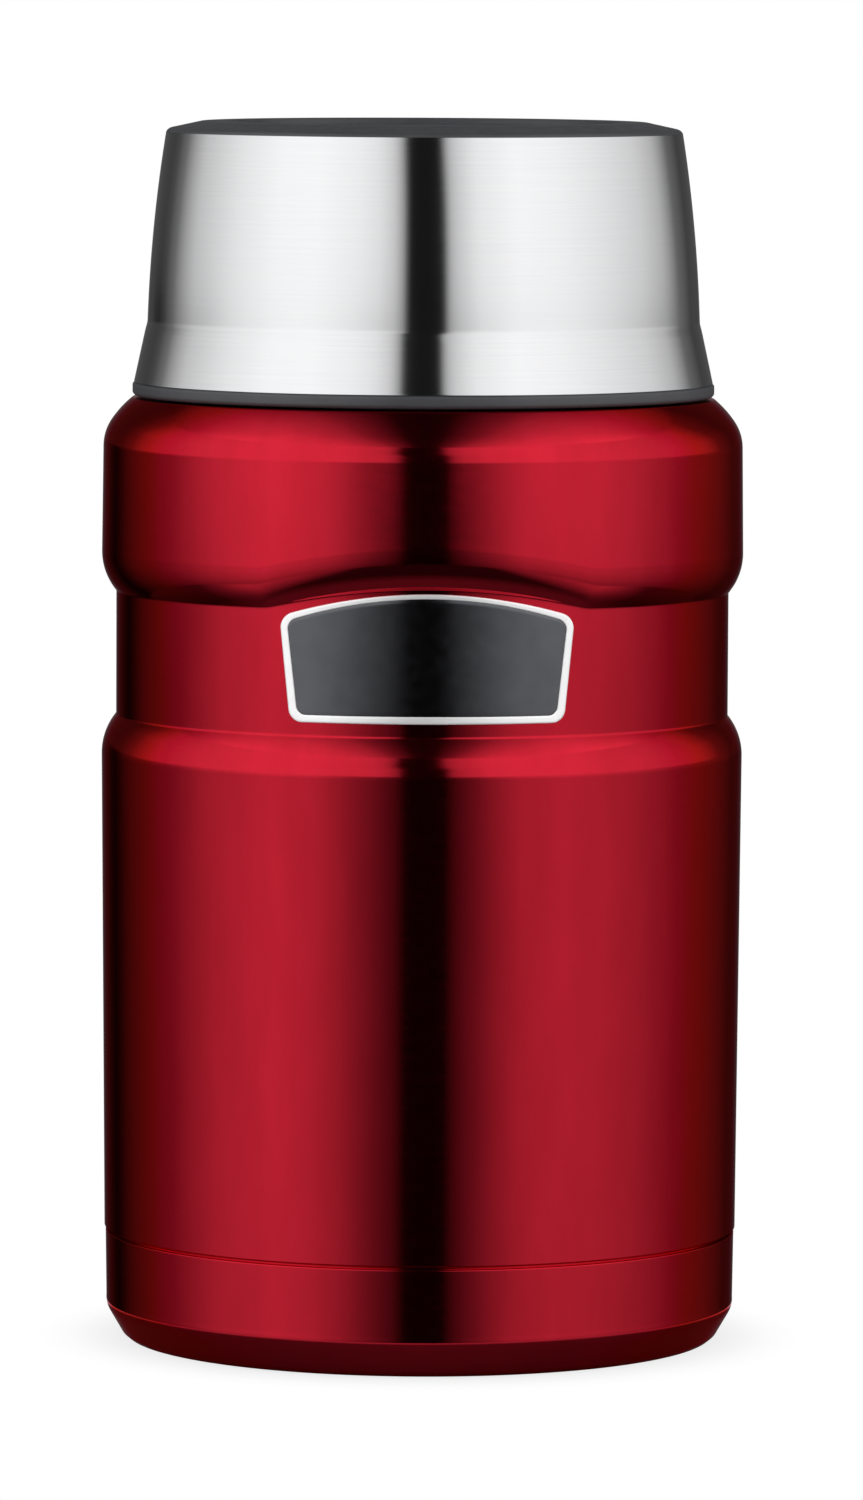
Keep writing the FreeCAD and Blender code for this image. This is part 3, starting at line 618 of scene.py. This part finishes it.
def screw_thread(name, radius, low, finish):
    """A right-handed thread of several starts, the first of them towards +X."""
    piece = grown(name, THREAD_TREE, bpy.data.meshes.new(name), **{
        "Radius": radius * MM, "Low": low * MM, "Lead": THREAD_LEAD * MM, "Turns": THREAD_TURNS,
        "Starts": THREAD_STARTS, "Ridge Radius": THREAD_ROUND * MM, "Finish": finish})
    shade_smooth(piece)
    return piece


# Lid

def make_lid_sleeve():
    def side(inset):
        start = (42.92 - inset, 160.8)
        end = (40.17 - inset, 188.3)
        flare = [(45.1 - inset, 149.4, 0.15), (43.35 - inset, 157.5, 2.5), (43.0 - inset, 158.8, 2.5)]
        return flare + [start] + arc_after(start, end, (-0.08, 2.0), 20) + [end]
    sleeve = turned("steel_sleeve", supported(softened(side(0) + side(SHEET)[::-1])), STEEL_BRUSHED, 320)
    place(sleeve, "lid", "brushed_steel", "lid_sleeve")


def make_lid_collar():
    collar = turned("plastic_collar", supported(softened([
        (COLLAR_BORE, 147.4, 0.4), (45.3, 147.4, 0.7), (45.3, 149.4, 0.5), (44.5, 149.4), (42.75, 157.5),
        (42.3, 158.8), (42.3, 161.2), (41.4, 161.2), (41.4, 160.2),
        (COLLAR_BORE, 160.2, 0.3)])),
        LID_PLASTIC, 320)
    place(collar, "lid", "dark_plastic", "lid_collar")
    thread = screw_thread("collar_thread", COLLAR_BORE, COLLAR_THREAD_LOW, LID_PLASTIC)
    place(thread, "lid", "dark_plastic", "lid_collar")


def make_lid_cap():
    cap = turned("plastic_cap", supported(softened([
        (0, 187.2), (38.37, 187.2), (38.37, 184.8), (39.57, 184.8), (39.57, 188.3), (40.17, 188.3, 0.15)]
        + arc_after((39.27, 189.0), (40.17, 188.3), (4.6, -1.0), 7)[::-1]
        + [(39.27, 189.0), (34.67, 190.0, 0.8), (30.67, 190.0, 0.5), (29.67, 189.0, 0.8), (0, 189.0)])),
        LID_PLASTIC, 320)
    place(cap, "lid", "dark_plastic", "lid_cap")


# Pieces inside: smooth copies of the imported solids

def smooth_copy(node, name, finish, slot):
    source = frame["nodes"][node]
    mesh = source.data.copy()
    mesh.name = name
    soft = bmesh.new()
    soft.from_mesh(mesh)
    bmesh.ops.remove_doubles(soft, verts=soft.verts, dist=2e-6)
    soft.to_mesh(mesh)
    soft.free()
    mesh.materials.clear()
    mesh.materials.append(finish)
    piece = bpy.data.objects.new(name, mesh)
    bpy.context.scene.collection.objects.link(piece)
    shade_smooth(piece)
    place(piece, source["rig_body"], slot, node)
    return piece


INSIDE = [
    ("bottom_plate", "bottom_disc", STEEL, "plain_steel"),
    ("getter_clip", "getter_holder", STEEL, "plain_steel"),
    ("inner_vessel", "food_vessel", STEEL, "plain_steel"),
    ("bowl_liner", "bowl_inside", STEEL, "plain_steel"),
    ("vacuum_seal", "seal_bead", GLASS, "seal_glass"),
    ("getter", "getter_pellet", GETTER, "getter_metal"),
    ("radiation_foil", "copper_wrap", COPPER, "copper_foil"),
    ("stopper_shell", "stopper_plug", BLACK_PLASTIC, "black_plastic"),
    ("stopper_cap", "stopper_grip", BLACK_PLASTIC, "black_plastic"),
    ("stopper_foam", "stopper_core", FOAM, "insulating_foam"),
    ("stopper_gasket", "stopper_seal_ring", SILICONE, "silicone"),
    ("liner_seal", "liner_seal_ring", SILICONE, "silicone"),
]

make_barrel()
make_neck()
make_base_cup()
make_badge()
make_lid_sleeve()
make_lid_collar()
make_lid_cap()
for row in INSIDE:
    smooth_copy(*row)


# Studio: two banks of light with a dark gap at the camera, a pale round plinth with painted shade round
# the jar's foot, white background

TENT_RADIUS = 3.0
TENT_LOW = -1.5
TENT_HIGH = 2.2
TENT_STEPS = 158
DISC_STEPS = 96
LEVEL_SCALE = 2.0
WORLD_LEVEL = 0.6
PLINTH_RADIUS = 0.064
PLINTH_LEVEL = -0.00005
# Dark grey of the plinth's cloth near the jar's foot: painted shade, which also takes the real shading and
# the jar's shadow
PAINTED_SHADE_TONE = 0.22

# Light level by angle round the jar, in degrees from the camera, for low and high light
LOW_BANK = [(-180, 0.15), (-165, 0.05), (-157, 0.05), (-150, 0.02), (-144, 0.006), (-138, 0.03),
            (-133, 0.075), (-119, 0.2), (-100, 0.41), (-80, 0.88), (-54, 1.185), (-38, 0.98), (-30, 0.74),
            (-23, 0.49), (-15.6, 0.27), (-9.8, 0.145), (-7, 0.05), (-6, 0.008), (8.8, 0.008), (9.9, 0.06),
            (13.4, 0.16), (20.7, 0.36), (28, 0.62), (35.6, 0.87), (51, 1.02), (68, 0.94), (86, 0.72),
            (108, 0.39), (134, 0.16), (147, 0.06), (165, 0.05), (180, 0.15)]
HIGH_BANK = [(-180, 0.16), (-168, 0.09), (-155, 0.075), (-145, 0.07), (-138, 0.1), (-129, 0.24),
             (-120, 0.62), (-112, 0.92), (-86, 1.39), (-65, 1.63), (-46, 1.66), (-28, 1.52), (-19, 1.36),
             (-12.3, 1.06), (-8.6, 0.6), (-6.6, 0.03), (-5.5, 0.012), (7.2, 0.012), (8.4, 0.06),
             (11.0, 0.75), (14.4, 1.04), (23.4, 1.44), (41, 1.65), (60, 1.56), (80, 1.37), (105, 1.08),
             (120, 0.76), (134, 0.2), (148, 0.07), (168, 0.09), (180, 0.16)]
# Light level of the ceiling by distance from its middle line and by depth towards the camera, in metres
CEILING_BANK = [(0, 0.015), (0.2, 0.025), (0.34, 0.13), (0.47, 0.25), (0.62, 0.4), (0.78, 0.66),
                (1.07, 0.93), (1.42, 1.2), (2.0, 1.35), (3.0, 1.6)]
CEILING_DEPTH = [(-3.0, 0.03), (-2.4, 0.07), (-1.4, 0.38), (-0.8, 0.64), (-0.4, 0.82), (0, 1.0),
                 (0.6, 1.15), (3.0, 1.15)]
# Light level of the table by distance from its middle line, by depth and round its centre, in metres
TABLE_BANK = [(0, 0.02), (1.1, 0.03), (1.5, 0.33), (2.1, 0.64), (2.6, 0.78), (3.0, 0.8)]
TABLE_DEPTH = [(-0.4, 0.1), (0.1, 0.4), (0.8, 1.0)]
TABLE_CENTRE = [(0, 0.15), (0.9, 0.15), (1.5, 0.01)]
# Heights between which the low bank gives way to the high one, in metres
BANK_CHANGE = (0.08, 0.2)
# Strength of the wall of light by height, in metres
WALL_FADE = [(-1.5, 0.45), (-1.34, 0.55), (-1.0, 0.74), (-0.7, 0.84), (-0.46, 0.93), (-0.38, 0.97),
             (-0.2, 1.0), (-0.11, 0.97), (-0.04, 1.12), (0.03, 1.32), (0.09, 1.3), (0.2, 1.0), (2.2, 1.0)]

# Share of white in the floor by distance from the jar's axis, as the camera sees it and in its reflection,
# in metres. Less white near the foot lays a ring of painted shade over the real contact shadow.
PAINTED_SHADE_FADE_SEEN = [(0.046, 0.82), (0.05, 0.89), (0.055, 0.965), (0.06, 1.0)]
PAINTED_SHADE_FADE_GLOSS = [(0.0585, 0), (0.064, 1.0)]
# Turn of the dark gap towards the camera, and its lean at the top of the wall, in degrees
GAP_TURN = 0.98
GAP_LEAN = [(0.85, 0), (1.15, 1.7)]


class Light:
    """A light card's emission, worked out from object coordinates."""

    def __init__(self, name):
        self.material = bpy.data.materials.new(name)
        self.material.use_nodes = True
        self.tree = self.material.node_tree
        self.tree.nodes.clear()
        self.glow = self.tree.nodes.new("ShaderNodeEmission")
        end = self.tree.nodes.new("ShaderNodeOutputMaterial")
        self.tree.links.new(self.glow.outputs[0], end.inputs["Surface"])
        place_node = self.tree.nodes.new("ShaderNodeTexCoord")
        split = self.tree.nodes.new("ShaderNodeSeparateXYZ")
        self.tree.links.new(place_node.outputs["Object"], split.inputs[0])
        self.x, self.y, self.z = split.outputs

    def maths(self, operation, *values):
        return maths_node(self.tree, operation, *values)

    def out(self):
        """Distance from the jar's axis."""
        return self.maths("SQRT", self.maths("ADD", self.maths("MULTIPLY", self.x, self.x),
                                             self.maths("MULTIPLY", self.y, self.y)))

    def bank(self, source, stops):
        """Levels at stops of the source, with straight runs between them."""
        low, high = stops[0][0], stops[-1][0]
        node = self.tree.nodes.new("ShaderNodeValToRGB")
        steps = node.color_ramp.elements
        while len(steps) > 1:
            steps.remove(steps[0])
        for i, (at, level) in enumerate(stops):
            step = steps[0] if i == 0 else steps.new((at - low) / (high - low))
            step.position = (at - low) / (high - low)
            step.color = (level / LEVEL_SCALE,) * 3 + (1,)
        share = self.maths("DIVIDE", self.maths("SUBTRACT", source, low), high - low)
        self.tree.links.new(share, node.inputs["Fac"])
        return self.maths("MULTIPLY", node.outputs["Color"], LEVEL_SCALE)


def stage_mesh(name, verts, faces, finish, seen):
    piece = mesh_piece(name, verts, faces, finish)
    piece.visible_camera = seen


def wall_light():
    light = Light("wall_light")
    turn = light.maths("ARCTAN2", light.x, light.maths("MULTIPLY", light.y, -1))
    degrees = light.maths("ADD", light.maths("DEGREES", turn), GAP_TURN)
    low = light.bank(degrees, LOW_BANK)
    high = light.bank(light.maths("ADD", degrees, light.bank(light.z, GAP_LEAN)), HIGH_BANK)
    lift = light.tree.nodes.new("ShaderNodeMapRange")
    lift.interpolation_type = "SMOOTHSTEP"
    lift.inputs["From Min"].default_value = BANK_CHANGE[0]
    lift.inputs["From Max"].default_value = BANK_CHANGE[1]
    light.tree.links.new(light.z, lift.inputs["Value"])
    share = lift.outputs["Result"]
    level = light.maths("ADD", light.maths("MULTIPLY", low, light.maths("SUBTRACT", 1.0, share)),
                        light.maths("MULTIPLY", high, share))
    level = light.maths("MULTIPLY", level, light.bank(light.z, WALL_FADE))
    light.tree.links.new(level, light.glow.inputs["Strength"])
    return light.material


def ceiling_light():
    light = Light("ceiling_light")
    across = light.bank(light.maths("ABSOLUTE", light.x), CEILING_BANK)
    ahead = light.bank(light.maths("MULTIPLY", light.y, -1), CEILING_DEPTH)
    light.tree.links.new(light.maths("MULTIPLY", across, ahead), light.glow.inputs["Strength"])
    return light.material


def table_light():
    light = Light("table_light")
    across = light.bank(light.maths("ABSOLUTE", light.x), TABLE_BANK)
    ahead = light.bank(light.maths("MULTIPLY", light.y, -1), TABLE_DEPTH)
    centre = light.bank(light.out(), TABLE_CENTRE)
    level = light.maths("ADD", light.maths("MULTIPLY", across, ahead), centre)
    light.tree.links.new(level, light.glow.inputs["Strength"])
    return light.material


def seen_ray(tree, path):
    """One for a ray of the camera, of a reflection or through glass, otherwise nothing."""
    glossy_or_clear = maths_node(tree, "MAXIMUM", path.outputs["Is Glossy Ray"],
                                 path.outputs["Is Transmission Ray"])
    return maths_node(tree, "MAXIMUM", path.outputs["Is Camera Ray"], glossy_or_clear)


def plinth_with_painted_shade():
    """Pale floor whose real diffuse shading keeps the jar's contact shadow, with painted shade round the
    foot: near the jar the white is faded out, most of all in reflections, to show a dark grey cloth. It
    runs out to the white background.
    """
    light = Light("plinth")
    tree, link = light.tree, light.tree.links.new
    path = tree.nodes.new("ShaderNodeLightPath")
    link(seen_ray(tree, path), light.glow.inputs["Strength"])
    out = light.out()
    # White fades out towards the foot, for the camera and in reflections: painted shade round the jar
    painted_shade_seen = light.bank(out, PAINTED_SHADE_FADE_SEEN)
    painted_shade_gloss = light.bank(out, PAINTED_SHADE_FADE_GLOSS)
    camera = path.outputs["Is Camera Ray"]
    share = light.maths("ADD", light.maths("MULTIPLY", painted_shade_seen, camera),
                        light.maths("MULTIPLY", painted_shade_gloss, light.maths("SUBTRACT", 1.0, camera)))
    # Dark grey cloth shown near the foot: painted shade, whose diffuse shading also keeps the real contact
    # shadow
    painted_shade_cloth = tree.nodes.new("ShaderNodeBsdfDiffuse")
    painted_shade_cloth.inputs["Color"].default_value = (PAINTED_SHADE_TONE, PAINTED_SHADE_TONE, PAINTED_SHADE_TONE, 1)
    mix = tree.nodes.new("ShaderNodeMixShader")
    link(share, mix.inputs[0])
    link(painted_shade_cloth.outputs[0], mix.inputs[1])
    link(light.glow.outputs[0], mix.inputs[2])
    end = next(n for n in tree.nodes if n.type == "OUTPUT_MATERIAL")
    link(mix.outputs[0], end.inputs["Surface"])
    return light.material


def disc(name, radius, height, finish, seen):
    verts = []
    for i in range(DISC_STEPS):
        angle = FULL_TURN * i / DISC_STEPS
        verts.append((radius * math.cos(angle), radius * math.sin(angle), height))
    stage_mesh(name, verts, [tuple(range(DISC_STEPS))], finish, seen)


def make_studio():
    verts = []
    for i in range(TENT_STEPS + 1):
        angle = math.pi * (2 * i / TENT_STEPS - 1)
        for height in (TENT_LOW, TENT_HIGH):
            verts.append((TENT_RADIUS * math.sin(angle), -TENT_RADIUS * math.cos(angle), height))
    faces = [(2 * i, 2 * i + 2, 2 * i + 3, 2 * i + 1) for i in range(TENT_STEPS)]
    stage_mesh("light_wall", verts, faces, wall_light(), False)
    disc("light_ceiling", TENT_RADIUS, TENT_HIGH, ceiling_light(), False)
    disc("light_table", TENT_RADIUS, TENT_LOW, table_light(), False)
    disc("plinth", PLINTH_RADIUS, PLINTH_LEVEL, plinth_with_painted_shade(), True)


def make_world():
    world = bpy.data.worlds.new("white_studio")
    bpy.context.scene.world = world
    world.use_nodes = True
    tree, link = world.node_tree, world.node_tree.links.new
    soft = tree.nodes["Background"]
    soft.inputs["Color"].default_value = (1, 1, 1, 1)
    soft.inputs["Strength"].default_value = WORLD_LEVEL
    white = tree.nodes.new("ShaderNodeBackground")
    white.inputs["Color"].default_value = (1, 1, 1, 1)
    white.inputs["Strength"].default_value = 1.0
    path = tree.nodes.new("ShaderNodeLightPath")
    mix = tree.nodes.new("ShaderNodeMixShader")
    link(seen_ray(tree, path), mix.inputs[0])
    link(soft.outputs[0], mix.inputs[1])
    link(white.outputs[0], mix.inputs[2])
    link(mix.outputs[0], tree.nodes["World Output"].inputs["Surface"])


# Camera at the photograph's viewing angle
CAMERA_DISTANCE = 1.48
CAMERA_SIDE = math.radians(0.98)
CAMERA_AIM_HEIGHT = 0.0955
CAMERA_PITCH = math.radians(4.7)
AIM_DOWN = math.radians(4.8355)
AIM_RIGHT = math.radians(0.0593)
AIM_ROLL = math.radians(0.27)
LENS = 227.3


def make_camera():
    data = bpy.data.cameras.new("camera")
    data.sensor_fit = "VERTICAL"
    data.sensor_height = 36.0
    data.lens = LENS
    data.clip_end = 20
    camera = bpy.data.objects.new("camera", data)
    bpy.context.scene.collection.objects.link(camera)
    side = CAMERA_SIDE + AIM_RIGHT
    ahead = Vector((math.sin(side) * math.cos(AIM_DOWN), math.cos(side) * math.cos(AIM_DOWN),
                    -math.sin(AIM_DOWN)))
    turn = ahead.to_track_quat("-Z", "Y") @ Quaternion((0, 0, 1), AIM_ROLL)
    out = CAMERA_DISTANCE * math.cos(CAMERA_PITCH)
    spot = Vector((-out * math.sin(CAMERA_SIDE), -out * math.cos(CAMERA_SIDE),
                   CAMERA_AIM_HEIGHT + CAMERA_DISTANCE * math.sin(CAMERA_PITCH)))
    camera.matrix_world = Matrix.Translation(spot) @ turn.to_matrix().to_4x4()
    bpy.context.scene.camera = camera


make_studio()
make_world()
make_camera()
bpy.context.scene.view_settings.view_transform = "Standard"
